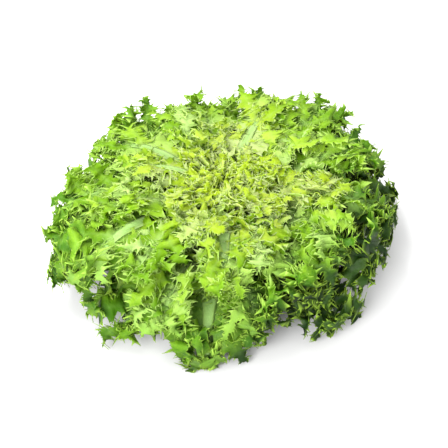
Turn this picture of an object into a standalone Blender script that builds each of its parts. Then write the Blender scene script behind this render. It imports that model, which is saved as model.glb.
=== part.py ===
"""A head of curly endive, set down on its cut stem with its leaves spread in a low, hollow-topped mound.

The head is a short stem crown, which carries a spiral of leaves from the low outer ones to the upright
inner ones, and a tuft of small heart leaves in the middle. Every leaf lies along its own curved shell
round the stem: the shells open like a bowl and don't meet, so the leaves stay clear of each other.
Units are metres, +Z is up, and the origin is the centre of the cut face that the head stands on.
"""

import math
import random

import bmesh
import bpy

MM = 0.001

# The spiral of leaves
LEAF_COUNT = 46
GOLDEN_ANGLE = math.radians(137.508)
FIRST_AZIMUTH = math.radians(-98)
LEAF_HALF_ANGLE = math.radians(25)

# Each leaf's rib is a Bezier curve in the plane through the stem's axis. The keys give its four control
# points as (radius, height) in millimetres, for the outermost leaf (rank 0) to the innermost (rank 1).
RIB_KEYS = (
    (0.00, ((20, 8), (70, 22), (118, 46), (148, 4))),
    (0.25, ((18, 14), (58, 54), (110, 92), (149, 42))),
    (0.50, ((15, 20), (42, 79), (88, 111), (134, 75))),
    (0.75, ((11, 26), (26, 76), (54, 115), (95, 107))),
    (0.90, ((8, 30), (12, 60), (23, 90), (44, 107))),
    (1.00, ((6.4, 33), (7, 50), (11, 72), (20, 92))),
)
RIB_SAMPLES = 48

# The head isn't quite round: its leaves are longer at the back than at the front, longest at the sides and at
# two opposite corners (back right and front left), and a little taller on the right
RIM_REACH = 150 * MM
BACK_GROWTH = 0.045
DEPTH_LOSS = 0.10
CORNER_GROWTH = 0.055
RIGHT_RISE = 0.042

# The blade, with the lobes and teeth of its edge. A pair of values is for the outermost and innermost leaf.
BARE_SHARE = 0.26
OUTER_LOBES = 5
INNER_LOBES = 4
INNER_RANK = 0.65
STALK_HALF_WIDTH = (5.2 * MM, 3.2 * MM)
STALK_FLARE = 1.3
STALK_ROOM = 0.55
BLADE_HALF_WIDTH = (46 * MM, 14 * MM)
BLADE_NARROWEST = 0.42
WIDEST_SHARE = 0.625
BLADE_THICKNESS = 1.3 * MM
RIB_THICKNESS = (3.0 * MM, 1.8 * MM)
LENGTH_SPREAD = 0.05
SIDE_BEND = 7 * MM
TOOTH_SPREAD = 0.07
WAVE_HEIGHT = (5.3 * MM, 2.0 * MM)

# One lobe's edge from sinus to sinus: share of the lobe's pitch along the rib, share of the blade's
# half width, and share of the wave's height. The middle point is the lobe's tip.
LOBE_EDGE = (
    (0.00, 0.30, 0.00),
    (0.10, 0.68, 0.60),
    (0.30, 0.60, 0.30),
    (0.78, 1.00, 1.00),
    (0.72, 0.64, 0.10),
    (1.02, 0.74, -0.35),
)
LOBE_MIDDLE = (0.50, 0.40, 0.25)
# The end lobe's edge on one side, with its shares along taken of the lobe's pitch past the last sinus
END_EDGE = ((0.55, 0.46, 0.70), (0.42, 0.24, 0.10))
END_TIP = (1.10, 0.00, 0.50)

# The stem crown: a turned body as (radius, height) in millimetres, from the cut face up
CROWN_OUTLINE = (
    (16.0, 0.0),
    (17.2, 1.2),
    (18.6, 5.0),
    (16.6, 13.2),
    (13.5, 19.0),
    (9.4, 25.0),
    (5.9, 29.4),
    (3.6, 31.4),
)
CROWN_SIDES = 24

# The heart: small leaves sunk into a core that stands on the crown
HEART_LEAVES = 7
HEART_CORE = ((3.4, 31.8), (4.4, 38.0), (4.0, 48.0), (1.8, 56.0))
HEART_CORE_SIDES = 8
HEART_LOW_RIB = ((3.0, 38), (4.0, 50), (6.0, 64), (11.0, 76))
HEART_HIGH_RIB = ((1.2, 49), (1.8, 60), (2.6, 70), (4.5, 84))
HEART_AZIMUTH = math.radians(15)
HEART_HALF_ANGLE = math.radians(20)
HEART_LOBES = 2
HEART_HALF_WIDTH = 6.5 * MM
HEART_STALK = 1.5 * MM
HEART_WAVE = 1.2 * MM
HEART_RIB_THICKNESS = (1.6 * MM, 1.4 * MM)

SEED = 500

# The ranks below which a leaf counts as outer and as middle
OUTER_RANK = 0.33
MIDDLE_RANK = 0.66

LEAF_GREENS = {
    "outer": (0.10, 0.24, 0.03),
    "middle": (0.26, 0.46, 0.05),
    "inner": (0.48, 0.62, 0.10),
}
HEART_YELLOW = (0.68, 0.72, 0.20)
CROWN_CREAM = (0.74, 0.74, 0.52)


def clear_scene():
    for old in list(bpy.data.objects):
        bpy.data.objects.remove(old, do_unlink=True)


def mix(a, b, share):
    return a + (b - a) * share


def leaf_material(name, colour, roughness):
    material = bpy.data.materials.new(name)
    material.use_nodes = True
    shader = material.node_tree.nodes["Principled BSDF"]
    shader.inputs["Base Color"].default_value = (*colour, 1)
    shader.inputs["Roughness"].default_value = roughness
    shader.inputs["Metallic"].default_value = 0
    return material


def lopsided(x, y, z):
    """Moves a place in an even, round head to where it is in this one."""
    r = math.hypot(x, y)
    share = min(r / RIM_REACH, 1)
    rim = share * share * (3 - 2 * share)
    back = y / r
    corner = 2 * x * y / (r * r)
    uneven = BACK_GROWTH * back - DEPTH_LOSS * back * back + CORNER_GROWTH * corner * (1 + corner)
    grow = 1 + rim * uneven
    return x * grow, y * grow, z * (1 + RIGHT_RISE * x / RIM_REACH)


class Rib:
    """A leaf's rib: a Bezier curve of (radius, height), which is read by its length from the stem."""

    def __init__(self, controls, azimuth, stretch=1.0, bend=0.0):
        self.azimuth = azimuth
        self.bend = bend
        root = controls[0]
        self.controls = [
            (root[0] + (r - root[0]) * stretch, root[1] + (z - root[1]) * stretch)
            for r, z in controls
        ]
        self.points = [self.at(i / RIB_SAMPLES) for i in range(RIB_SAMPLES + 1)]
        self.lengths = [0.0]
        for a, b in zip(self.points, self.points[1:]):
            self.lengths.append(self.lengths[-1] + math.dist(a, b))
        self.length = self.lengths[-1]

    def at(self, t):
        weights = ((1 - t) ** 3, 3 * t * (1 - t) ** 2, 3 * t * t * (1 - t), t**3)
        return tuple(
            sum(w * p[axis] for w, p in zip(weights, self.controls)) * MM
            for axis in (0, 1)
        )

    def place(self, along):
        """(radius, height) at a length along the rib, and the unit way along it. It runs on straight past its end."""
        i = 1
        while i < RIB_SAMPLES and self.lengths[i] < along:
            i += 1
        (r0, z0), (r1, z1) = self.points[i - 1], self.points[i]
        step = self.lengths[i] - self.lengths[i - 1]
        share = (along - self.lengths[i - 1]) / step
        return (mix(r0, r1, share), mix(z0, z1, share)), ((r1 - r0) / step, (z1 - z0) / step)

    def normal(self, along):
        """The unit way out of the leaf's upper face, smoothed over a few samples."""
        reach = self.length / RIB_SAMPLES * 1.5
        (ra, za), _ = self.place(max(along - reach, 0))
        (rb, zb), _ = self.place(along + reach)
        size = math.hypot(rb - ra, zb - za)
        return -(zb - za) / size, (rb - ra) / size

    def point(self, along, aside, height):
        """The place that far along the rib, that far to its side round the stem, and that far above the shell."""
        (r, z), _ = self.place(along)
        nr, nz = self.normal(along)
        angle = self.azimuth + (aside + self.bend * (along / self.length) ** 2) / r
        radius = r + nr * height
        return lopsided(radius * math.cos(angle), radius * math.sin(angle), z + nz * height)


def rib_controls(rank):
    for (low, before), (high, after) in zip(RIB_KEYS, RIB_KEYS[1:]):
        if rank <= high:
            share = (rank - low) / (high - low)
            return [
                (mix(a[0], b[0], share), mix(a[1], b[1], share))
                for a, b in zip(before, after)
            ]
    return list(RIB_KEYS[-1][1])


class Blade:
    """Collects a leaf's points and triangles, each point with its own thickness, and closes them into a solid."""

    def __init__(self, rib):
        self.rib = rib
        self.spots = []
        self.triangles = []

    def spot(self, along, aside, height, thickness):
        self.spots.append((along, aside, height, thickness))
        return len(self.spots) - 1

    def fan(self, middle, ring):
        for a, b in zip(ring, ring[1:]):
            self.triangles.append((middle, a, b))

    def solid(self, bm):
        """Adds both faces, split alike, and the wall along the outline."""
        upper, lower = [], []
        for along, aside, height, thickness in self.spots:
            upper.append(bm.verts.new(self.rib.point(along, aside, height + thickness / 2)))
            lower.append(bm.verts.new(self.rib.point(along, aside, height - thickness / 2)))
        edges = set()
        for a, b, c in self.triangles:
            bm.faces.new((upper[a], upper[b], upper[c]))
            bm.faces.new((lower[c], lower[b], lower[a]))
            edges |= {(a, b), (b, c), (c, a)}
        for a, b in edges:
            if (b, a) not in edges:
                bm.faces.new((upper[b], upper[a], lower[a], lower[b]))


def blade_width(share, rank):
    """The blade's half width before its lobes are cut, at a share of the way along the lobed part."""
    swell = math.sin(math.pi / 2 * min(share / WIDEST_SHARE, 2.0)) ** 0.8
    return mix(*BLADE_HALF_WIDTH, rank) * mix(BLADE_NARROWEST, 1.0, swell)


def heart_width(share):
    swell = math.sin(math.pi / 2 * min(share / WIDEST_SHARE, 2.0))
    return HEART_HALF_WIDTH * mix(0.5, 1.0, swell)


def lobed_blade(rib, draw, lobes, width_at, stalk, half_angle, wave, rib_thickness):
    """A leaf blade: a bare stalk, pairs of toothed lobes that stand alternately up and down, and an end lobe."""
    phase = draw.uniform(-0.5, 0.5)
    blade = Blade(rib)
    start = rib.length * BARE_SHARE
    pitch = (rib.length - start) / (lobes + 0.9)

    def uneven():
        return 1 + draw.uniform(-TOOTH_SPREAD, TOOTH_SPREAD)

    def width(along):
        (r, _), _ = rib.place(along)
        return min(width_at((along - start) / (rib.length - start)), half_angle * r)

    def thickness(along):
        return mix(*rib_thickness, along / rib.length)

    rows = []
    for along in (0.0, start / 2, start):
        (r, _), _ = rib.place(along)
        half = min(mix(*stalk, along / start), STALK_ROOM * half_angle * r)
        rows.append([
            blade.spot(along, -half, 0, BLADE_THICKNESS),
            blade.spot(along, 0, 0, thickness(along)),
            blade.spot(along, half, 0, BLADE_THICKNESS),
        ])
    for low, high in zip(rows, rows[1:]):
        blade.fan(low[1], (high[1], high[0], low[0]))
        blade.fan(low[1], (low[2], high[2], high[1]))
    spine = [rows[-1][1]]
    for k in range(1, lobes + 1):
        along = start + k * pitch
        spine.append(blade.spot(along, 0, 0, thickness(along)))

    ends = {}
    for side in (-1, 1):
        sinus = rows[-1][0 if side < 0 else 2]
        for k in range(lobes):
            along = start + k * pitch
            half = width(along + 0.6 * pitch)
            rise = wave * math.cos(math.pi * k + phase * side)
            ring = [spine[k], sinus]
            for forward, out, up in LOBE_EDGE[1:]:
                aside = side * out * half * uneven()
                ring.append(blade.spot(along + forward * pitch, aside, up * rise, BLADE_THICKNESS))
            _, out, _ = LOBE_EDGE[0]
            sinus = blade.spot(along + pitch, side * out * width(along + pitch), 0, BLADE_THICKNESS)
            ring += [sinus, spine[k + 1], spine[k]]
            forward, out, up = LOBE_MIDDLE
            middle = blade.spot(along + forward * pitch, side * out * half, up * rise, BLADE_THICKNESS)
            blade.fan(middle, ring if side > 0 else ring[::-1])
        ends[side] = sinus

    along = start + lobes * pitch
    half = width(along)
    tip = blade.spot(along + END_TIP[0] * pitch, 0, END_TIP[2] * wave, BLADE_THICKNESS)
    ring = [ends[1]]
    for side in (1, -1):
        teeth = [
            blade.spot(along + forward * pitch, side * out * half, up * wave * side, BLADE_THICKNESS)
            for forward, out, up in END_EDGE
        ]
        ring += [*teeth, tip] if side > 0 else teeth[::-1]
    blade.fan(spine[-1], [*ring, ends[-1]])
    return blade


def object_from(bm, name, material):
    bmesh.ops.recalc_face_normals(bm, faces=bm.faces)
    mesh = bpy.data.meshes.new(name)
    bm.to_mesh(mesh)
    bm.free()
    mesh.materials.append(material)
    made = bpy.data.objects.new(name, mesh)
    bpy.context.scene.collection.objects.link(made)
    return made


def turned_body(outline, sides):
    """A solid of revolution about the stem's axis, closed with flat ends."""
    bm = bmesh.new()
    rings = []
    for r, z in outline:
        rings.append([
            bm.verts.new((
                r * MM * math.cos(2 * math.pi * i / sides),
                r * MM * math.sin(2 * math.pi * i / sides),
                z * MM,
            ))
            for i in range(sides)
        ])
    for low, high in zip(rings, rings[1:]):
        for i in range(sides):
            j = (i + 1) % sides
            bm.faces.new((low[i], low[j], high[j], high[i]))
    bm.faces.new(rings[0][::-1])
    bm.faces.new(rings[-1])
    return bm


def make_crown():
    """The stem, cut flat underneath, up to the point where the last leaves leave it."""
    material = leaf_material("crown cream", CROWN_CREAM, 0.55)
    crown = object_from(turned_body(CROWN_OUTLINE, CROWN_SIDES), "stem_crown", material)
    crown.data.shade_smooth()
    crown.data.set_sharp_from_angle(angle=math.radians(40))


def make_leaves():
    materials = {
        age: leaf_material(f"{age} leaf green", colour, 0.5)
        for age, colour in LEAF_GREENS.items()
    }
    for k in range(LEAF_COUNT):
        draw = random.Random(SEED + k)
        rank = k / (LEAF_COUNT - 1)
        stretch = 1 + draw.uniform(-LENGTH_SPREAD, LENGTH_SPREAD) * (1 - rank)
        bend = draw.uniform(-SIDE_BEND, SIDE_BEND) * (1 - rank)
        rib = Rib(rib_controls(rank), FIRST_AZIMUTH + k * GOLDEN_ANGLE, stretch, bend)
        blade = lobed_blade(
            rib,
            draw,
            lobes=OUTER_LOBES if rank < INNER_RANK else INNER_LOBES,
            width_at=lambda share, rank=rank: blade_width(share, rank),
            stalk=(mix(*STALK_HALF_WIDTH, rank), mix(*STALK_HALF_WIDTH, rank) * STALK_FLARE),
            half_angle=LEAF_HALF_ANGLE,
            wave=mix(*WAVE_HEIGHT, rank),
            rib_thickness=RIB_THICKNESS,
        )
        age = "outer" if rank < OUTER_RANK else "middle" if rank < MIDDLE_RANK else "inner"
        bm = bmesh.new()
        blade.solid(bm)
        object_from(bm, f"{age}_leaf_{k + 1:02d}", materials[age])


def keep_outer_shell(made):
    """Fills any hollow that joining has sealed, and drops scraps, by keeping the one shell with the most faces."""
    bm = bmesh.new()
    bm.from_mesh(made.data)
    left = set(bm.faces)
    shells = []
    while left:
        shell, to_visit = set(), [left.pop()]
        while to_visit:
            face = to_visit.pop()
            shell.add(face)
            near = {other for edge in face.edges for other in edge.link_faces} & left
            left -= near
            to_visit += near
        shells.append(shell)
    shells.sort(key=len)
    for shell in shells[:-1]:
        bmesh.ops.delete(bm, geom=list(shell), context="FACES")
    bm.to_mesh(made.data)
    bm.free()


def make_heart():
    """The tuft of small leaves, whose stalks are sunk into a slim core and joined with it in one body."""
    draw = random.Random(SEED)
    material = leaf_material("heart yellow", HEART_YELLOW, 0.5)
    heart = object_from(turned_body(HEART_CORE, HEART_CORE_SIDES), "heart_tuft", material)
    leaves = bpy.data.collections.new("heart leaves")
    bpy.context.scene.collection.children.link(leaves)
    for k in range(HEART_LEAVES):
        share = k / (HEART_LEAVES - 1)
        controls = [
            (mix(a[0], b[0], share), mix(a[1], b[1], share))
            for a, b in zip(HEART_LOW_RIB, HEART_HIGH_RIB)
        ]
        rib = Rib(controls, HEART_AZIMUTH + k * GOLDEN_ANGLE)
        blade = lobed_blade(
            rib,
            draw,
            lobes=HEART_LOBES,
            width_at=heart_width,
            stalk=(HEART_STALK, HEART_STALK),
            half_angle=HEART_HALF_ANGLE,
            wave=HEART_WAVE,
            rib_thickness=HEART_RIB_THICKNESS,
        )
        bm = bmesh.new()
        blade.solid(bm)
        leaf = object_from(bm, f"heart leaf {k}", material)
        bpy.context.scene.collection.objects.unlink(leaf)
        leaves.objects.link(leaf)
    join = heart.modifiers.new("join leaves", "BOOLEAN")
    join.operation = "UNION"
    join.operand_type = "COLLECTION"
    join.collection = leaves
    join.solver = "MANIFOLD"
    bpy.context.view_layer.objects.active = heart
    bpy.ops.object.modifier_apply(modifier=join.name)
    keep_outer_shell(heart)
    for leaf in list(leaves.objects):
        bpy.data.objects.remove(leaf, do_unlink=True)
    bpy.data.collections.remove(leaves)


def main():
    clear_scene()
    make_crown()
    make_leaves()
    make_heart()


main()
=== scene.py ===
"""The looks of a head of curly endive: fine, frilled leaves in place of the plain ones, on a white floor.

Every leaf is a pale rib, a ragged blade on both sides of it and pairs of toothed lobes. Lobes and
blades are bent from a few flat patterns. A leaf lies along the same curved shell round the stem as the
plain leaf that it replaces, and its lobes curl out of it. Lengths are in millimetres, and shares run
from 0 to 1.
"""

import math
import random

import bpy
import numpy as np
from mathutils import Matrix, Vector


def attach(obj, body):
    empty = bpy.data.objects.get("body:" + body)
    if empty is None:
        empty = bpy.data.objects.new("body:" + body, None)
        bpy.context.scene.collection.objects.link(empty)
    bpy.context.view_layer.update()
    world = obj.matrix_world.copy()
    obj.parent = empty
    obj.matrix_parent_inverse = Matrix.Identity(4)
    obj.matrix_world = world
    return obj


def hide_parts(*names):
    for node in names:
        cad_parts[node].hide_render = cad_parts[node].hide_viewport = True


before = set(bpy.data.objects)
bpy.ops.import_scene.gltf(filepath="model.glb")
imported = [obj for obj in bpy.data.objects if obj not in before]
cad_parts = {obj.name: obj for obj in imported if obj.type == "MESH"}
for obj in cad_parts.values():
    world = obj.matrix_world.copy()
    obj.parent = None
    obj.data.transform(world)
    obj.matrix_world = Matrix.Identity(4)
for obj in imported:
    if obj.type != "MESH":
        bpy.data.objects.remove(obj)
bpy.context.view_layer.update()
bpy.ops.object.select_all(action="DESELECT")

MM = 0.001

# The spiral of leaves and the shells that they lie on, as in the plain model
SEED = 500
LEAF_COUNT = 46
GOLDEN_ANGLE = math.radians(137.508)
FIRST_AZIMUTH = math.radians(-98)
OUTER_RANK = 0.33
MIDDLE_RANK = 0.66
LENGTH_SPREAD = 0.05
SIDE_BEND = 7
RIB_KEYS = (
    (0.00, ((20, 8), (70, 22), (118, 46), (148, 4))),
    (0.25, ((18, 14), (58, 54), (110, 92), (149, 42))),
    (0.50, ((15, 20), (42, 79), (88, 111), (134, 75))),
    (0.75, ((11, 26), (26, 76), (54, 115), (95, 107))),
    (0.90, ((8, 30), (12, 60), (23, 90), (44, 107))),
    (1.00, ((6.4, 33), (7, 50), (11, 72), (20, 92))),
)
RIB_SAMPLES = 48

# Two leaves that grew a little shorter or longer than the others, by number
ODD_LENGTHS = {6: 0.9, 23: 1.08}

# The uneven growth of the whole head
RIM_REACH = 150
BACK_GROWTH = 0.045
DEPTH_LOSS = 0.10
CORNER_GROWTH = 0.055
RIGHT_RISE = 0.042

# Where the frills begin to bend away from the head's own size, and how far they may go
FLOOR_SOFTNESS = 7
FLOOR_GAP = 0.5
TOP_START = 86
TOP_LIMIT = 114.5
REACH_START = 128
REACH_LIMIT = 161
SLOPE_REACH = 1.5
LEAST_TURNING_RADIUS = 6

# The flat patterns. A lobe takes the first, second or third by its length, and a hidden one the fourth.
PATTERN_TEETH = (20, 14, 9, 5)
LONG_LOBE = 30
SHORT_LOBE = 17
TOOTH_NECK = 0.25
NECK_WIDTH = 0.28

# The lobes. A pair of values is for the outermost and the innermost leaf.
BARE_SHARE = 0.26
HIDDEN_SHARE = 0.34
LEAF_HALF_ANGLE = math.radians(25)
ANGLE_SLACK = 1.15
LOBE_PITCH = (9.2, 6.8)
LOBE_REACH = (46, 26)
LOBE_WIDTH = (6.0, 5.1)
TOOTH_LENGTH = (4.8, 3.9)
STALK_REACH = 0.42
WIDEST_SHARE = 0.625
TIP_REACH = ((0.7, 1.0), (1.0, 0.6))
LOBE_STRETCH = (1.0, 1.35)
STALK_SWEEP = 72
TIP_SWEEP = 34
SWEEP_SPREAD = 10
FIRST_FOOT = (0.86, 1.0)
LAST_FOOT = 0.4
ROOM_AHEAD = 0.6
FOOT_ASIDE = (0.3, 0.1)
PITCH_SPREAD = (0.8, 1.2)
HIDDEN_PITCH = 1.5
COARSE_PITCH = 1.35
END_FAN = (-22, 0, 24)
END_STRETCH = (1.3, 1.8)
END_FOOT = 0.7
END_WIDTH = 0.9
END_LIFT = 0.5
LEAF_THICKNESS = 0.45

# How a lobe bends, in degrees
LOBE_STATIONS = 25
TURN_RANGE = (-45, 15)
SLOPE_RANGE = (8, 50)
CURL_RANGE = (40, 150)
RIPPLE_RANGE = (20, 55)
RIPPLE_WAVES = (0.8, 1.8)
ROLL_AT_FOOT = 25
ROLL_TO_TIP = 85

# The outline of a lobe, as shares of its width, and its teeth, as shares of a tooth's length
WIDTH_CHOICES = (0.6, 0.8, 1.0, 1.25)
FOOT_WIDTH = 0.40
TIP_TAPER = 0.6
TAPER_START = 0.72
SIDE_LOBING = 0.42
FOLD_LENGTH = (9, 13)
TOOTH_SIZES = (0.35, 0.95)
LARGE_TOOTH = 2.0
TOOTH_RAISE = 1.2
TOOTH_LEAN = (-0.2, 1.1)
CRINKLE = 0.5
CRINKLE_WEIGHT = 1.2
RUFFLE = 1.25
RUFFLE_SIZES = (0.4, 0.9)
RUFFLE_SHIFT = 1.3
ANY_PHASE = (0, 6.3)
CUP_RANGE = (-0.1, 0.5)
FOOT_FADE = 4

# The blade strips beside the rib
WEB_TEETH = 20
WEB_COLUMNS = 4
WEB_SHARES = (0.12, 0.88)
WEB_TAPER = ((0.55, 0.88), (1.0, 0.5))
WEB_WIDTH = (1.15, 0.64)
WEB_HALF_ANGLE = math.radians(31)
WEB_RAGGED = (0.55, 1.25)
WEB_TOOTH_SIZES = (0.4, 1.3)
WEB_WAVE = 5
WEB_CUP = 1.5

# The ribs: a cross-section in half widths and thicknesses, and how both fall off along the leaf
RIB_SECTION = (
    (-1, 0.1), (-0.55, -0.12), (0, -0.22), (0.55, -0.12),
    (1, 0.1), (0.6, -0.75), (0, -1.0), (-0.6, -0.75),
)
RIB_ROWS = 26
RIB_END = 0.985
RIB_HALF_WIDTH = (6.4, 3.8)
RIB_THICKNESS = (3.4, 2.2)
RIB_TAPER = ((0, 0.2, 0.4, 0.7, 1), (0.95, 1.05, 0.8, 0.36, 0.1))
RIB_THINNING = ((0, 0.3, 0.7, 1), (1.0, 0.85, 0.45, 0.2))
RIB_LIFT = 0.5

# The ribs that stand open to view, by leaf number
SHOWN_RIBS = (1, 19, 22, 29, 31, 37)
SHOWN_RIB_PALE = (0.29, 0.48, 0.15)
SHOWN_RIB_LIFT = 1.4
SHOWN_RIB_RISE = 15
SHOWN_RIB_GROWTH = 2.3
SHOWN_RIB_START = 0.1
SHOWN_RIB_SPAN = 0.8

# The lobes that lie low beside a shown rib
LYING_SHARE = 0.62
LYING_ASIDE = 2.2
LYING_RISE = 0.9
LYING_SLOPE = 0.3
LYING_CURL = 0.6

# The heart's small leaves. Each pair of shells is for the first and the last of them.
HEART_LEAVES = 20
HEART_AZIMUTH = math.radians(15)
HEART_LOW = ((4, 34), (10, 56), (20, 86), (44, 96))
HEART_HIGH = ((1.5, 38), (2, 58), (4, 80), (11, 96))
HEART_HALF_ANGLE = math.radians(50)
HEART_RIB_SWELL = 0.5
HEART_SIZE = (1.0, 0.85)

# How pale a place on a leaf is for its age, and the painted light and shade laid over that
PALE_CENTRE = (3, -22)
PALE_HEIGHT = 100
HEIGHT_WEIGHT = 1.3
PALE_CORE = 12
PALE_REACH = 165
NEAR_YOUTH = 0.66
RANK_YOUTH = 0.20
LEAST_YOUTH = 0.21
TONE_SPREAD = 0.13
# Painted light on lobes that rise above their shell, painted shade on those below it
CREST_LIGHT = 0.012
CREST_LIMIT = 0.14
# Painted shade on the far left
LEFT_SHADE = 0.27
LEFT_REACH = 130
# Painted shade low down on the front right side
DARK_AZIMUTH = math.radians(-34)
DARK_FOCUS = 2.6
DARK_DEPTH = 1.06
DARK_TOP = 108
DARK_FADE = 48
DARK_ONSET = 1.7

# The floor, the lamps as (place, size, watts), the white surround and the camera, in metres.
# The lens and the sensor are in millimetres.
FLOOR_SIZE = 6
FLOOR_WHITE = 0.57
LAMP_TARGET = (0, 0, 0.05)
KEY_LAMP = ((-0.45, 0.15, 1.3), 0.5, 22)
FILL_LAMP = ((-0.5, -1.1, 0.8), 0.8, 32)
SURROUND_STRENGTH = 1.66
CAMERA_ELEVATION = math.radians(41.3)
CAMERA_DISTANCE = 0.936
CAMERA_TARGET = (0.0004, 0.0, 0.0446)
CAMERA_LENS = 85
CAMERA_SENSOR = 36


def mix(a, b, share):
    return a + (b - a) * share


def smooth(share):
    return share * share * (3 - 2 * share)


def angle_from(draw, low, high):
    return math.radians(draw.uniform(low, high))


def soft_limit(value, start, limit):
    """Leaves values below start alone and bends those above it so that none passes the limit."""
    room = limit - start
    over = np.maximum(value - start, 0)
    return np.where(value > start, start + room * np.tanh(over / room), value)


class Shell:
    """The curved surface of revolution that a leaf lies along, in millimetres from the stem's foot."""

    def __init__(self, controls, rank, azimuth, stretch=1.0, bend=0.0):
        self.rank = rank
        self.tone = 0.0
        self.azimuth = azimuth
        self.bend = bend
        root = np.array(controls[0], float)
        points = root + (np.array(controls, float) - root) * stretch
        t = np.linspace(0, 1, RIB_SAMPLES + 1)[:, None]
        curve = (1 - t) ** 3 * points[0] + 3 * t * (1 - t) ** 2 * points[1]
        curve = curve + 3 * t * t * (1 - t) * points[2] + t**3 * points[3]
        self.curve = curve
        steps = np.hypot(*np.diff(curve, axis=0).T)
        self.lengths = np.concatenate([[0], np.cumsum(steps)])
        self.length = self.lengths[-1]
        self.end_way = (curve[-1] - curve[-2]) / steps[-1]

    def place(self, along):
        """Radius and height that far along the rib, straight on past its end."""
        inside = np.clip(along, 0, self.length)
        past = along - inside
        r = np.interp(inside, self.lengths, self.curve[:, 0]) + past * self.end_way[0]
        z = np.interp(inside, self.lengths, self.curve[:, 1]) + past * self.end_way[1]
        return r, z

    def points(self, along, aside, height):
        """Places so far along the rib, aside from it round the stem, and above the shell."""
        r, z = self.place(along)
        reach = self.length / RIB_SAMPLES * SLOPE_REACH
        ra, za = self.place(np.maximum(along - reach, 0))
        rb, zb = self.place(along + reach)
        size = np.hypot(rb - ra, zb - za)
        aside = aside + self.bend * (along / self.length) ** 2
        angle = self.azimuth + aside / np.maximum(r, LEAST_TURNING_RADIUS)
        radius = r - (zb - za) / size * height
        z = z + (rb - ra) / size * height
        radius = soft_limit(radius, REACH_START, REACH_LIMIT)
        rim = smooth(np.clip(radius / RIM_REACH, 0, 1))
        back = np.sin(angle)
        z = z * (1 + RIGHT_RISE * radius * np.cos(angle) / RIM_REACH)
        corner = np.sin(2 * angle)
        uneven = BACK_GROWTH * back - DEPTH_LOSS * back * back + CORNER_GROWTH * corner * (1 + corner)
        radius = radius * (1 + rim * uneven)
        z = soft_limit(z, TOP_START, TOP_LIMIT)
        low = z < FLOOR_SOFTNESS
        under = np.minimum(z, FLOOR_SOFTNESS) - FLOOR_SOFTNESS
        z = np.where(low, FLOOR_SOFTNESS * np.exp(under / FLOOR_SOFTNESS), z)
        z = z + FLOOR_GAP * low
        return np.stack([radius * np.cos(angle), radius * np.sin(angle), z], axis=-1) * MM


def mix_controls(before, after, share):
    return [(mix(a[0], b[0], share), mix(a[1], b[1], share)) for a, b in zip(before, after)]


def shell_controls(rank):
    """The shell's curve for a leaf of that rank, 0 for the outermost and 1 for the innermost."""
    for (low, before), (high, after) in zip(RIB_KEYS, RIB_KEYS[1:]):
        if rank <= high:
            return mix_controls(before, after, (rank - low) / (high - low))
    return list(RIB_KEYS[-1][1])


class Pattern:
    """A flat toothed lobe: x runs across it and y along it, from -1 to 1, and both pass 1 up a tooth."""

    def __init__(self, teeth, columns=2):
        bpy.ops.mesh.primitive_grid_add(x_subdivisions=columns, y_subdivisions=teeth, size=2)
        grid = bpy.context.object
        bpy.ops.object.mode_set(mode="EDIT")
        bpy.ops.mesh.select_mode(type="EDGE")
        for k in range(teeth):
            middle = -1 + (2 * k + 1) / teeth
            for side in (-1, 1):
                self.raise_tooth(grid, (side, middle), (side, 0), 1 / teeth)
        for k in range(columns):
            self.raise_tooth(grid, (-1 + (2 * k + 1) / columns, 1), (0, 1), 1 / columns)
        bpy.ops.object.mode_set(mode="OBJECT")
        mesh = grid.data
        co = np.empty(len(mesh.vertices) * 3)
        mesh.vertices.foreach_get("co", co)
        x, y, _ = co.reshape(-1, 3).T
        self.teeth = teeth
        self.across = np.clip(x, -1, 1)
        self.along = (np.clip(y, -1, 1) + 1) / 2
        self.aside = np.maximum(np.abs(x) - 1, 0)
        self.ahead = np.maximum(y - 1, 0)
        self.out = np.maximum(self.aside, self.ahead)
        row = np.where(self.ahead > 0, teeth, np.floor(np.clip(self.along, 0, 0.999) * teeth))
        self.tooth = np.where(self.out > 0, row, 0).astype(int)
        self.right = (x > 0).astype(int)
        self.row = np.round(self.along * teeth).astype(int)
        self.faces = [tuple(face.vertices) for face in mesh.polygons]
        bpy.data.objects.remove(grid, do_unlink=True)
        bpy.data.meshes.remove(mesh)

    @staticmethod
    def raise_tooth(grid, foot, way, half):
        """Draws the edge at a tooth's foot outwards, narrows it, and draws it out again to a point."""
        bpy.ops.mesh.select_all(action="DESELECT")
        bpy.ops.object.mode_set(mode="OBJECT")
        mesh = grid.data
        for edge in mesh.edges:
            ends = [mesh.vertices[i].co for i in edge.vertices]
            offsets = [(p.x - foot[0], p.y - foot[1]) for p in ends]
            edge.select = all(
                abs(dx * way[0] + dy * way[1]) < 1e-4
                and abs(abs(dx * way[1]) + abs(dy * way[0]) - half) < 1e-4
                for dx, dy in offsets
            )
        bpy.ops.object.mode_set(mode="EDIT")
        first = (way[0] * TOOTH_NECK, way[1] * TOOTH_NECK, 0)
        neck = (foot[0] + first[0], foot[1] + first[1], 0)
        slim = (1, NECK_WIDTH, 1) if way[0] else (NECK_WIDTH, 1, 1)
        rest = 1 - TOOTH_NECK
        bpy.ops.mesh.extrude_edges_move(TRANSFORM_OT_translate={"value": first})
        bpy.ops.transform.resize(value=slim, center_override=neck)
        bpy.ops.mesh.extrude_edges_move(TRANSFORM_OT_translate={"value": (way[0] * rest, way[1] * rest, 0)})
        bpy.ops.mesh.merge(type="CENTER")


class Sheet:
    """Collects one leaf's thin surfaces, with what its colours need at every point."""

    def __init__(self):
        self.points = []
        self.faces = []
        self.shape = []
        self.growth = []
        self.count = 0

    def add(self, points, faces, shape, growth):
        """Shape is (near the rib, along, towards the edge) and growth is (paleness for age with painted
        light and shade, luck, tip).
        """
        self.points.append(points)
        self.faces += [tuple(i + self.count for i in face) for face in faces]
        self.shape.append(shape)
        self.growth.append(growth)
        self.count += len(points)


def draw_rows(draw, pattern, low, high):
    """Draws a value for each row of teeth, first down one side and then down the other."""
    return np.array([[draw.uniform(low, high) for _ in range(pattern.teeth + 1)] for _ in (0, 1)])


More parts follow.
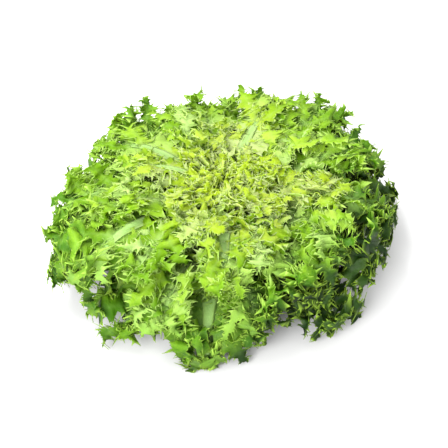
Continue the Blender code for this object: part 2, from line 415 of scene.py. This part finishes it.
def add_lobe(
    sheet, shell, pattern, draw, root, aside, side, length, width, tooth, sweep, rise, lift=1.0, lying=False
):
    """Bends one toothed lobe out of the rib: it sweeps forward, rises or falls, curls and twists."""
    t = np.linspace(0, 1, LOBE_STATIONS)
    turn = sweep + angle_from(draw, *TURN_RANGE) * t
    slope_at_foot = angle_from(draw, *SLOPE_RANGE) * draw.choice((1, 1, -1)) * lift
    curl = angle_from(draw, *CURL_RANGE) * draw.choice((1, -1, -1))
    if lying:
        slope_at_foot = -abs(slope_at_foot) * LYING_SLOPE
        curl = -abs(curl) * LYING_CURL
    ripple = angle_from(draw, *RIPPLE_RANGE)
    phase = draw.uniform(0, 2 * math.pi)
    waves = np.sin(2 * math.pi * t * draw.uniform(*RIPPLE_WAVES) + phase)
    slope = slope_at_foot + curl * t**1.5 + ripple * waves * t
    ahead = np.stack([
        np.cos(slope) * np.cos(turn),
        np.cos(slope) * np.sin(turn) * side,
        np.sin(slope),
    ], axis=1)
    middle = np.concatenate([np.zeros((1, 3)), np.cumsum((ahead[1:] + ahead[:-1]) / 2, axis=0)])
    middle = middle * length / (LOBE_STATIONS - 1) + np.array([root, aside * side, rise])
    flat = np.stack([-np.sin(turn), np.cos(turn) * side, np.zeros(LOBE_STATIONS)], axis=1)
    up = np.cross(ahead, flat)
    up *= np.sign(up[:, 2:3].sum()) or 1
    roll_at_foot = angle_from(draw, -ROLL_AT_FOOT, ROLL_AT_FOOT)
    roll = roll_at_foot + angle_from(draw, -ROLL_TO_TIP, ROLL_TO_TIP) * t**1.2
    wide = np.cos(roll)[:, None] * flat + np.sin(roll)[:, None] * up
    over = np.cos(roll)[:, None] * up - np.sin(roll)[:, None] * flat

    pick = pattern.right, pattern.tooth
    first = draw.randrange(3)
    size = draw_rows(draw, pattern, *TOOTH_SIZES)
    size[:, first::3] *= LARGE_TOOTH
    scale = size[pick]
    raised = draw_rows(draw, pattern, -TOOTH_RAISE, TOOTH_RAISE)[pick]
    lean = draw_rows(draw, pattern, *TOOTH_LEAN)[pick]

    at = pattern.along
    past_foot = np.clip(at * FOOT_FADE, 0, 1)
    rim = np.abs(pattern.across) ** 2 * past_foot
    side_phase = np.where(pattern.right > 0, draw.uniform(*ANY_PHASE), draw.uniform(*ANY_PHASE))
    folds = length / draw.uniform(*FOLD_LENGTH)
    width = width * draw.choice(WIDTH_CHOICES)
    body = FOOT_WIDTH + (1 - FOOT_WIDTH) * np.sin(math.pi * np.clip(at * 0.98, 0, 1)) ** 0.7
    body = body * (1 - TIP_TAPER * np.clip((at - TAPER_START) / (1 - TAPER_START), 0, 1) ** 1.3)
    body = body * (1 + SIDE_LOBING * np.sin(2 * math.pi * at * folds + side_phase) * past_foot)
    crinkle = draw_rows(draw, pattern, -CRINKLE, CRINKLE)[pattern.right, pattern.row]
    reach = pattern.across * width * body
    grow = tooth * scale * (0.6 + 0.4 * body)
    reach = reach + np.sign(pattern.across) * pattern.aside * grow
    ruffle = np.sin(math.pi * at * folds + side_phase + RUFFLE_SHIFT) * draw.uniform(*RUFFLE_SIZES)
    cup = draw.uniform(*CUP_RANGE)
    height = (cup + RUFFLE * ruffle + CRINKLE_WEIGHT * crinkle) * rim * width * (0.4 + 0.6 * body)
    height = height + raised * grow * pattern.out * (0.3 + 0.7 * pattern.out)
    onward = pattern.ahead * grow + pattern.aside * grow * lean * pattern.aside

    def read(column):
        return np.stack([np.interp(at, t, column[:, i]) for i in range(3)], axis=1)

    spots = read(middle) + read(wide) * reach[:, None] + read(over) * height[:, None]
    spots = spots + read(ahead) * onward[:, None]
    points = shell.points(spots[:, 0], spots[:, 1], spots[:, 2])
    luck = draw.random()
    # Paleness for age, with painted shade and with painted light and shade by height above the shell
    paleness_with_shade = paleness_with_painted_shade(points, shell, spots[:, 2])
    shape = np.stack([1 - past_foot, at, edge_share(pattern)], axis=1)
    growth = np.stack([paleness_with_shade, np.full(len(at), luck), pattern.out], axis=1)
    sheet.add(points, pattern.faces, shape, growth)


def edge_share(pattern):
    """0 down the middle of a pattern, 0.7 at its edge and 1 at the points of its teeth."""
    return np.clip(np.abs(pattern.across) * 0.7 + pattern.out * 0.3, 0, 1)


def paleness_with_painted_shade(points, shell, height=0.0):
    """How pale the leaf is for its age, 1 in the heart and less outwards, with painted shade on the far
    left and low on the dark side, and painted light and shade by height above the shell.
    """
    x, y, z = (points / MM).T
    drop = HEIGHT_WEIGHT * (PALE_HEIGHT - z)
    away = np.sqrt((x - PALE_CENTRE[0]) ** 2 + (y - PALE_CENTRE[1]) ** 2 + drop**2)
    share = np.clip((away - PALE_CORE) / PALE_REACH, 0, 1)
    near = 1 - smooth(share)
    # Painted shade: darker low down on the front right and on the far left of the head
    toward_painted_shade = np.clip(np.cos(np.arctan2(y, x) - DARK_AZIMUTH), 0, 1) ** DARK_FOCUS
    low = np.clip((DARK_TOP - z) / DARK_FADE, 0, 1) * np.clip(share * DARK_ONSET, 0, 1)
    left = LEFT_SHADE * np.clip(-x / LEFT_REACH, 0, 1) * np.clip(share * 2 - 1, 0, 1)
    # Painted light where a lobe rises above its shell and painted shade where it sinks below it
    painted_crest_shading = np.clip(height * CREST_LIGHT, -CREST_LIMIT, CREST_LIMIT)
    base = NEAR_YOUTH * near + RANK_YOUTH * shell.rank + LEAST_YOUTH + shell.tone + painted_crest_shading
    return np.clip(base - left - DARK_DEPTH * toward_painted_shade * low, 0, 1)


def add_rib(sheet, shell, swell=1.0, shown=False):
    """The pale rib: broad and fleshy at the stem, with a shallow groove on top, and fine at the tip."""
    n = len(RIB_SECTION)
    u = np.linspace(0, RIB_END, RIB_ROWS) * shell.length
    share = u / shell.length
    half = mix(*RIB_HALF_WIDTH, shell.rank) * swell * np.interp(share, *RIB_TAPER)
    thick = mix(*RIB_THICKNESS, shell.rank) * np.interp(share, *RIB_THINNING)
    if shown:
        half = half * SHOWN_RIB_GROWTH
    along = np.repeat(u, n)
    x = np.tile([corner[0] for corner in RIB_SECTION], RIB_ROWS)
    y = np.tile([corner[1] for corner in RIB_SECTION], RIB_ROWS)
    aside = x * np.repeat(half, n)
    lift = RIB_LIFT + SHOWN_RIB_LIFT * shown
    height = y * np.repeat(thick, n) + lift + np.repeat(rib_rise(share, shown), n)
    points = shell.points(along, aside, height)
    faces = []
    for i in range(RIB_ROWS - 1):
        for j in range(n):
            a = i * n + j
            b = i * n + (j + 1) % n
            faces.append((a, b, b + n, a + n))
    faces.append(tuple(range(n))[::-1])
    faces.append(tuple((RIB_ROWS - 1) * n + j for j in range(n)))
    shape = np.stack([np.ones(len(along)), np.repeat(share, n), np.abs(x)], axis=1)
    # Paleness for age, with painted shade
    paleness_with_shade = paleness_with_painted_shade(points, shell)
    growth = np.stack([paleness_with_shade, np.full(len(along), 0.5), np.full(len(along), float(shown))], axis=1)
    sheet.add(points, faces, shape, growth)


def rib_rise(share, shown):
    """How far a shown rib stands above its shell, so that its neighbours' frills leave it open."""
    span = np.clip((share - SHOWN_RIB_START) / SHOWN_RIB_SPAN, 0, 1)
    return SHOWN_RIB_RISE * np.sin(math.pi * span) * shown


def add_web(sheet, shell, pattern, draw, size, shown):
    """The blade between the lobes' feet: a waved, ragged strip on both sides of the rib."""
    share = mix(*WEB_SHARES, pattern.along)
    pick = pattern.right, pattern.row
    ragged = draw_rows(draw, pattern, *WEB_RAGGED)[pick]
    wave = draw_rows(draw, pattern, -1, 1)[pick]
    r, _ = shell.place(share * shell.length)
    lobed = np.maximum((share - BARE_SHARE) / (1 - BARE_SHARE), 0)
    half = lobe_reach(lobed, shell.rank) * size * mix(*WEB_WIDTH, shell.rank) * ragged
    half = np.minimum(half, WEB_HALF_ANGLE * r) * np.interp(share, *WEB_TAPER)
    teeth = draw_rows(draw, pattern, *WEB_TOOTH_SIZES)[pick]
    tooth = mix(*TOOTH_LENGTH, shell.rank) * size * teeth
    aside = pattern.across * half + np.sign(pattern.across) * pattern.aside * tooth
    height = (wave * WEB_WAVE + WEB_CUP * (1 - shell.rank * 0.5)) * size * pattern.across**2
    height = height + rib_rise(share, shown) + pattern.aside * tooth * (2 * teeth - 1.7)
    points = shell.points(share * shell.length + pattern.ahead * tooth, aside, height)
    fleshy = np.clip(1 - np.abs(pattern.across) * 3, 0, 1)
    shape = np.stack([fleshy, pattern.along * 0.5, edge_share(pattern)], axis=1)
    # Paleness for age, with painted shade
    growth = np.stack([paleness_with_painted_shade(points, shell), np.full(len(share), draw.random()), pattern.out], axis=1)
    sheet.add(points, pattern.faces, shape, growth)


def lobe_reach(share, rank):
    """How far the lobes reach at that share of the way to the tip: furthest past the middle."""
    swell = np.sin(math.pi / 2 * np.minimum(share / WIDEST_SHARE, 2.0)) ** 0.8
    return mix(*LOBE_REACH, rank) * mix(STALK_REACH, 1.0, swell)


def add_lobes(sheet, shell, patterns, draw, half_angle, size=1.0, shown=False, coarser=0):
    """Pairs of lobes from the stalk to the tip, and a fan of three at the end."""
    rank = shell.rank
    start = shell.length * BARE_SHARE
    pitch = mix(*LOBE_PITCH, rank) * size
    width = mix(*LOBE_WIDTH, rank) * size
    tooth = mix(*TOOTH_LENGTH, rank) * size
    for side in (-1, 1):
        root = start * draw.uniform(*FIRST_FOOT)
        while root < shell.length - LAST_FOOT * pitch:
            share = max((root - start) / (shell.length - start), 0)
            hidden = rank < MIDDLE_RANK and share < HIDDEN_SHARE and not shown
            r, _ = shell.place(np.array(root + ROOM_AHEAD * pitch))
            reach = min(lobe_reach(share, rank) * size, half_angle * float(r) * ANGLE_SLACK)
            reach = reach * np.interp(share, *TIP_REACH)
            sweep = mix(STALK_SWEEP, TIP_SWEEP, share) + draw.uniform(-SWEEP_SPREAD, SWEEP_SPREAD)
            sweep = math.radians(sweep)
            length = reach * draw.uniform(*LOBE_STRETCH)
            grade = 0 if length > LONG_LOBE * size else 1 if length > SHORT_LOBE * size else 2
            pattern = patterns[3 if hidden else min(grade + coarser, 3)]
            lying = shown and share < LYING_SHARE
            aside = mix(*FOOT_ASIDE, share) * mix(*RIB_HALF_WIDTH, rank) * (LYING_ASIDE if lying else 1)
            rise = float(rib_rise(root / shell.length, shown)) * (LYING_RISE if lying else 1)
            add_lobe(
                sheet, shell, pattern, draw, root, aside, side,
                length, width, tooth, sweep, rise, lying=lying,
            )
            step = pitch * draw.uniform(*PITCH_SPREAD)
            root += step * (HIDDEN_PITCH if hidden else 1) * (COARSE_PITCH if coarser else 1)
    for turn in END_FAN:
        length = pitch * draw.uniform(*END_STRETCH)
        side = 1 if turn >= 0 else -1
        add_lobe(
            sheet, shell, patterns[2], draw, shell.length - END_FOOT * pitch, 0, side,
            length, width * END_WIDTH, tooth, math.radians(abs(turn)), 0.0, lift=END_LIFT,
        )


def finish_leaf(sheet, name, material, nodes):
    """Makes one object of the sheet and puts it in place of the plain leaf."""
    mesh = bpy.data.meshes.new(name)
    mesh.from_pydata(np.concatenate(sheet.points).tolist(), [], sheet.faces)
    for label, rows in (("shape", sheet.shape), ("growth", sheet.growth)):
        layer = mesh.attributes.new(label, "FLOAT_VECTOR", "POINT")
        layer.data.foreach_set("vector", np.concatenate(rows).astype(np.float32).ravel())
    mesh.materials.append(material)
    leaf = bpy.data.objects.new(name, mesh)
    bpy.context.scene.collection.objects.link(leaf)
    bpy.context.view_layer.objects.active = leaf
    leaf.select_set(True)
    bpy.ops.object.shade_smooth()
    leaf.select_set(False)
    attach(leaf, "root")
    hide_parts(*nodes)
    return leaf


def thicken(leaf):
    """Gives the blade its thickness, half to each side."""
    wall = leaf.modifiers.new("thickness", "SOLIDIFY")
    wall.thickness = LEAF_THICKNESS * MM
    wall.offset = 0
    wall.use_rim = True
    bpy.context.view_layer.objects.active = leaf
    bpy.ops.object.modifier_apply(modifier=wall.name)


class Wire:
    """A shader socket whose operators add the Math nodes that an expression needs."""

    def __init__(self, tree, socket):
        self.tree = tree
        self.socket = socket

    def maths(self, operation, *values, clamp=False):
        node = self.tree.nodes.new("ShaderNodeMath")
        node.operation = operation
        node.use_clamp = clamp
        for slot, value in zip(node.inputs, values):
            if isinstance(value, Wire):
                self.tree.links.new(value.socket, slot)
            else:
                slot.default_value = value
        return Wire(self.tree, node.outputs[0])

    def __add__(self, other):
        return self.maths("ADD", self, other)

    __radd__ = __add__

    def __sub__(self, other):
        return self.maths("SUBTRACT", self, other)

    def __rsub__(self, other):
        return self.maths("SUBTRACT", other, self)

    def __mul__(self, other):
        return self.maths("MULTIPLY", self, other)

    def __pow__(self, other):
        return self.maths("POWER", self, other)

    def clamped(self):
        return self.maths("ADD", self, 0.0, clamp=True)


class Shader:
    """A material's node tree, with one method that adds any node."""

    def __init__(self, name):
        self.material = bpy.data.materials.new(name)
        self.material.use_nodes = True
        self.tree = self.material.node_tree
        self.tree.nodes.clear()

    def node(self, kind, settings=None, **sockets):
        made = self.tree.nodes.new(kind)
        for key, value in (settings or {}).items():
            setattr(made, key, value)
        for key, value in sockets.items():
            slot = made.inputs[int(key[1:]) if key[0] == "_" else key.replace("_", " ")]
            if isinstance(value, Wire):
                self.tree.links.new(value.socket, slot)
            else:
                slot.default_value = value
        return made

    def wire(self, made, output=0):
        return Wire(self.tree, made.outputs[output])

    def ramp(self, share, stops):
        """Reads a colour from stops of (share, colour)."""
        made = self.node("ShaderNodeValToRGB", Fac=share)
        ramp = made.color_ramp
        while len(ramp.elements) < len(stops):
            ramp.elements.new(0.5)
        for element, (place, colour) in zip(ramp.elements, stops):
            element.position = place
            element.color = (*colour, 1)
        return self.wire(made)

    def noise(self, scale, detail):
        coords = self.wire(self.node("ShaderNodeTexCoord"), 3)
        return self.wire(self.node("ShaderNodeTexNoise", Vector=coords, Scale=scale, Detail=detail))

    def stored(self, label):
        """The three values that each point of a leaf carries under that label."""
        vector = self.wire(self.node("ShaderNodeAttribute", {"attribute_name": label}), 1)
        parts = self.node("ShaderNodeSeparateXYZ", _0=vector)
        return [self.wire(parts, i) for i in range(3)]

    def blend(self, share, first, second):
        """Goes from the first colour to the second."""
        made = self.node("ShaderNodeMix", {"data_type": "RGBA"}, _0=share, _6=first, _7=second)
        return self.wire(made, 2)


# Greens from the oldest leaf to the youngest, as (paleness with painted shade, colour)
DEEP_GREENS = (
    (0.00, (0.004, 0.016, 0.002)),
    (0.30, (0.038, 0.130, 0.002)),
    (0.75, (0.170, 0.340, 0.002)),
    (1.00, (0.360, 0.480, 0.004)),
)
FRESH_GREENS = (
    (0.00, (0.016, 0.046, 0.004)),
    (0.30, (0.150, 0.305, 0.010)),
    (0.75, (0.325, 0.500, 0.030)),
    (1.00, (0.490, 0.575, 0.070)),
)
PALE_GREENS = (
    (0.00, (0.028, 0.066, 0.010)),
    (0.30, (0.260, 0.450, 0.090)),
    (0.75, (0.460, 0.610, 0.250)),
    (1.00, (0.580, 0.625, 0.370)),
)
TIP_GREENS = (
    (0.00, (0.230, 0.370, 0.030)),
    (0.30, (0.340, 0.530, 0.070)),
    (0.75, (0.480, 0.640, 0.200)),
    (1.00, (0.590, 0.625, 0.380)),
)
RIB_GREENS = (
    (0.00, (0.030, 0.068, 0.012)),
    (0.40, (0.265, 0.440, 0.125)),
    (0.75, (0.460, 0.600, 0.240)),
    (1.00, (0.540, 0.610, 0.280)),
)
CROWN_BROWN = (0.50, 0.46, 0.22, 1)
CROWN_CREAM = (0.80, 0.80, 0.52, 1)
CROWN_PATCH_SCALE = 90.0

# The grain and the gleam of a leaf's surface
PATCH_SCALE = 75.0
FINE_SCALE = 800.0
CRUMPLE_SCALE = 230.0
BUMP_DEPTH = 0.0012
LEAF_SPECULAR = 0.12


def leaf_shader(name, glow):
    """A thin, moist leaf: pale rib and veins, green blade, lighter teeth, with light coming through it."""
    s = Shader(name)
    near_rib, along, edge = s.stored("shape")
    # The first of growth is paleness for age, with painted light and shade in it
    paleness_with_shade, luck, tip = s.stored("growth")
    patches = s.noise(PATCH_SCALE, 3.0)
    fine = s.noise(FINE_SCALE, 2.0)
    mottle = ((patches - 0.5) * 2.2 + (fine - 0.5) * 1.4 + (luck - 0.5) * 1.3 + 0.5).clamped()
    pale = s.ramp(paleness_with_shade, PALE_GREENS)
    green = s.blend(mottle, s.ramp(paleness_with_shade, DEEP_GREENS), s.ramp(paleness_with_shade, FRESH_GREENS))
    vein = ((1 - edge) ** 4.0 * (1 - along * 0.7) * 0.25 + (luck * 4.0 - 2.8).clamped() * 0.6).clamped()
    green = s.blend(vein, green, pale)
    light_tip = (tip * 0.75 + (edge ** 4.0) * 0.3).clamped()
    green = s.blend(light_tip, green, s.ramp(paleness_with_shade, TIP_GREENS))
    colour = s.blend((near_rib ** 2.0 * 0.65).clamped(), green, s.ramp(paleness_with_shade, RIB_GREENS))
    crumple = s.noise(CRUMPLE_SCALE, 2.0)
    colour = s.blend((near_rib * tip * (0.75 - edge * 0.6)).clamped(), colour, (*SHOWN_RIB_PALE, 1))
    bump = s.node("ShaderNodeBump", Strength=0.5, Distance=BUMP_DEPTH, Height=(fine * 0.4 + crumple * 1.4))
    body = s.node(
        "ShaderNodeBsdfPrincipled",
        Base_Color=colour,
        Roughness=(0.36 + fine * 0.15),
        Normal=s.wire(bump),
    )
    body.inputs["Specular IOR Level"].default_value = LEAF_SPECULAR
    through = s.node("ShaderNodeBsdfTranslucent", Color=(*glow, 1))
    both = s.node("ShaderNodeMixShader", _0=(paleness_with_shade * 0.52 + 0.08), _1=s.wire(body), _2=s.wire(through))
    s.node("ShaderNodeOutputMaterial", Surface=s.wire(both))
    return s.material


# The light that comes through a leaf of each age
LEAF_GLOWS = {
    "outer": (0.26, 0.52, 0.002),
    "middle": (0.40, 0.64, 0.002),
    "inner": (0.56, 0.74, 0.002),
    "heart": (0.72, 0.86, 0.004),
}
LEAF_SHADERS = {age: leaf_shader(f"{age} leaf", glow) for age, glow in LEAF_GLOWS.items()}


def add_leaf(shell, patterns, draw, age, nodes, half_angle, size=1.0, swell=1.0, shown=False, coarser=0):
    """Makes one leaf's lobes, the blade at their feet and its rib as one object."""
    lobes = Sheet()
    add_lobes(lobes, shell, patterns, draw, half_angle, size, shown, coarser)
    add_web(lobes, shell, patterns[-1], draw, size, shown)
    leaf = finish_leaf(lobes, f"frilled_{nodes[0]}", LEAF_SHADERS[age], nodes)
    thicken(leaf)
    stem = Sheet()
    add_rib(stem, shell, swell, shown)
    rib = finish_leaf(stem, "rib", LEAF_SHADERS[age], nodes)
    join([leaf, rib])
    return leaf


def join(pieces):
    bpy.ops.object.select_all(action="DESELECT")
    for piece in pieces:
        piece.select_set(True)
    bpy.context.view_layer.objects.active = pieces[0]
    bpy.ops.object.join()
    bpy.ops.object.select_all(action="DESELECT")


def make_leaves(patterns):
    """The leaves round the heart, from the outermost in."""
    for k in range(LEAF_COUNT):
        draw = random.Random(SEED + k)
        rank = k / (LEAF_COUNT - 1)
        stretch = 1 + draw.uniform(-LENGTH_SPREAD, LENGTH_SPREAD) * (1 - rank)
        bend = draw.uniform(-SIDE_BEND, SIDE_BEND) * (1 - rank)
        stretch = stretch * ODD_LENGTHS.get(k + 1, 1)
        age = "outer" if rank < OUTER_RANK else "middle" if rank < MIDDLE_RANK else "inner"
        shell = Shell(shell_controls(rank), rank, FIRST_AZIMUTH + k * GOLDEN_ANGLE, stretch, bend)
        shell.tone = random.Random(SEED * 7 + k).uniform(-TONE_SPREAD, TONE_SPREAD)
        own = random.Random(SEED * 100 + k)
        node = f"{age}_leaf_{k + 1:02d}"
        add_leaf(shell, patterns, own, age, [node], LEAF_HALF_ANGLE, shown=k + 1 in SHOWN_RIBS)


def make_heart(patterns):
    """A dense tuft of small pale leaves."""
    tuft = []
    for k in range(HEART_LEAVES):
        share = k / (HEART_LEAVES - 1)
        own = random.Random(SEED * 1000 + k)
        controls = mix_controls(HEART_LOW, HEART_HIGH, share)
        shell = Shell(controls, 1.0, HEART_AZIMUTH + k * GOLDEN_ANGLE)
        size = mix(*HEART_SIZE, share)
        leaf = add_leaf(
            shell, patterns, own, "heart", ["heart_tuft"], HEART_HALF_ANGLE, size,
            HEART_RIB_SWELL, coarser=1,
        )
        tuft.append(leaf)
    join(tuft)
    tuft[0].name = "frilled_heart"


def crown_shader():
    """Cream flesh, a little browned in patches."""
    s = Shader("crown cream")
    colour = s.blend(s.noise(CROWN_PATCH_SCALE, 4.0), CROWN_BROWN, CROWN_CREAM)
    body = s.node("ShaderNodeBsdfPrincipled", Base_Color=colour, Roughness=0.5)
    s.node("ShaderNodeOutputMaterial", Surface=s.wire(body))
    return s.material


def dress_crown():
    crown = bpy.data.objects["stem_crown"]
    crown.data.materials.clear()
    crown.data.materials.append(crown_shader())


def make_studio():
    """White floor, two soft lamps above on the left, an even white surround and the camera."""
    bpy.ops.mesh.primitive_plane_add(size=FLOOR_SIZE)
    floor = bpy.context.object
    floor.name = "studio_floor"
    s = Shader("floor white")
    white = (FLOOR_WHITE, FLOOR_WHITE, FLOOR_WHITE, 1)
    body = s.node("ShaderNodeBsdfPrincipled", Base_Color=white, Roughness=0.7)
    body.inputs["Specular IOR Level"].default_value = 0.1
    s.node("ShaderNodeOutputMaterial", Surface=s.wire(body))
    floor.data.materials.append(s.material)

    def aim(thing, place, target):
        thing.location = place
        thing.rotation_mode = "QUATERNION"
        thing.rotation_quaternion = (Vector(target) - Vector(place)).to_track_quat("-Z", "Y")

    def lamp(name, place, size, power):
        data = bpy.data.lights.new(name, "AREA")
        data.shape = "DISK"
        data.size = size
        data.energy = power
        made = bpy.data.objects.new(name, data)
        bpy.context.scene.collection.objects.link(made)
        aim(made, place, LAMP_TARGET)

    lamp("key", *KEY_LAMP)
    lamp("fill", *FILL_LAMP)

    world = bpy.data.worlds.new("studio")
    bpy.context.scene.world = world
    world.use_nodes = True
    background = world.node_tree.nodes["Background"]
    background.inputs[0].default_value = (1, 1, 1, 1)
    background.inputs[1].default_value = SURROUND_STRENGTH

    data = bpy.data.cameras.new("camera")
    data.lens = CAMERA_LENS
    data.sensor_width = CAMERA_SENSOR
    camera = bpy.data.objects.new("camera", data)
    bpy.context.scene.collection.objects.link(camera)
    bpy.context.scene.camera = camera
    target = Vector(CAMERA_TARGET)
    back = Vector((0, -math.cos(CAMERA_ELEVATION), math.sin(CAMERA_ELEVATION)))
    aim(camera, target + CAMERA_DISTANCE * back, target)
    bpy.context.scene.view_settings.view_transform = "Standard"


make_studio()
bpy.ops.object.select_all(action="DESELECT")
lobe_patterns = [Pattern(teeth) for teeth in PATTERN_TEETH] + [Pattern(WEB_TEETH, WEB_COLUMNS)]
make_leaves(lobe_patterns)
make_heart(lobe_patterns)
dress_crown()
